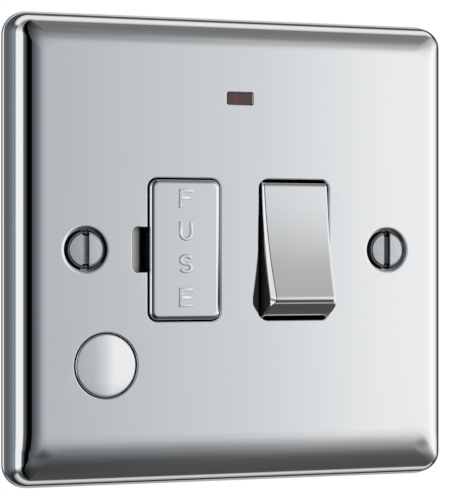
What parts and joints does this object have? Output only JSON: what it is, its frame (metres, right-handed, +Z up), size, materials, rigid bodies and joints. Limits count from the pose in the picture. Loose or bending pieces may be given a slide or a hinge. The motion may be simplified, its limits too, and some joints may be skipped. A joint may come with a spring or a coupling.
{
  "type": "fused spur unit",
  "caption": "Polished metal wall plate with a switch rocker, a pull-out fuse drawer, a neon window and a plugged flex outlet, over a moulded back with terminals.",
  "frame": {"origin": "middle of the plate's rim plane, halfway between the two fixing screws", "axes": "+X to the right, +Y into the wall, +Z up, as seen from the room"},
  "size_m": [0.0878, 0.0337, 0.0878],
  "materials": {
    "polished_metal": "mirror polished",
    "screw_metal": "turned and plated",
    "black_moulding": "moulded, satin",
    "lens": "dark red translucent",
    "lamp_glass": "clear",
    "resistor_body": "lacquered",
    "wire": "tinned",
    "white_plastic": "moulded",
    "spring_steel": "drawn wire",
    "contact_metal": "rolled strip",
    "brass": "machined",
    "ceramic": "glazed",
    "fuse_metal": "nickel plated",
    "zinc_steel": "zinc plated"
  },
  "bodies": {
    "root": {"front_plate": "polished_metal", "plate_screws": "screw_metal", "front_moulding": "black_moulding", "neon_lens": "lens", "neon_lamp": "lamp_glass", "neon_resistor": "resistor_body", "neon_leads": "wire", "flex_outlet_plug": "polished_metal", "live_fulcrum": "brass", "neutral_fulcrum": "brass", "live_fixed_contact": "brass", "neutral_fixed_contact": "brass", "fuse_clip_top": "contact_metal", "fuse_clip_bottom": "contact_metal", "rear_housing": "black_moulding", "housing_screws": "zinc_steel", "supply_live_terminal": "brass", "supply_neutral_terminal": "brass", "load_live_terminal": "brass", "load_neutral_terminal": "brass", "upper_earth_terminal": "brass", "lower_earth_terminal": "brass", "terminal_screws": "zinc_steel", "earth_strap": "brass"},
    "rocker": {"rocker_cover": "polished_metal", "rocker_body": "black_moulding", "live_plunger_spring": "spring_steel", "neutral_plunger_spring": "spring_steel"},
    "live_plunger": {"live_plunger": "white_plastic"},
    "neutral_plunger": {"neutral_plunger": "white_plastic"},
    "live_blade": {"live_contact_blade": "contact_metal"},
    "neutral_blade": {"neutral_contact_blade": "contact_metal"},
    "fuse_drawer": {"fuse_cover": "polished_metal", "fuse_carrier": "black_moulding", "fuse_barrel": "ceramic", "fuse_caps": "fuse_metal"}
  },
  "joints": [
    {"name": "rocker_tilt", "type": "hinge", "parent": "root", "child": "rocker", "pos_m": [0.011, -0.0046, 0], "axis": [1, 0, 0], "range_deg": [0, 27]},
    {"name": "drawer_slide", "type": "slide", "parent": "root", "child": "fuse_drawer", "axis": [0, -1, 0], "range_m": [0, 0.013]},
    {"name": "live_plunger_slide", "type": "slide", "parent": "rocker", "child": "live_plunger", "axis": [0, -0.9724, 0.2334], "range_m": [0, 0.0006], "stiffness_N_per_m": 100, "springref_m": -0.002, "deforming": ["live_plunger_spring"]},
    {"name": "live_blade_rock", "type": "hinge", "parent": "root", "child": "live_blade", "pos_m": [0.0078, 0.0071, 0], "axis": [1, 0, 0], "range_deg": [-19, 0]},
    {"name": "neutral_plunger_slide", "type": "slide", "parent": "rocker", "child": "neutral_plunger", "axis": [0, -0.9724, 0.2334], "range_m": [0, 0.0006], "stiffness_N_per_m": 100, "springref_m": -0.002, "deforming": ["neutral_plunger_spring"]},
    {"name": "neutral_blade_rock", "type": "hinge", "parent": "root", "child": "neutral_blade", "pos_m": [0.0142, 0.0071, 0], "axis": [1, 0, 0], "range_deg": [-19, 0]}
  ],
  "couplings": [
    {"joint": "live_blade_rock", "follows": "rocker_tilt", "ratio": -0.7037},
    {"joint": "neutral_blade_rock", "follows": "rocker_tilt", "ratio": -0.7037}
  ]
}
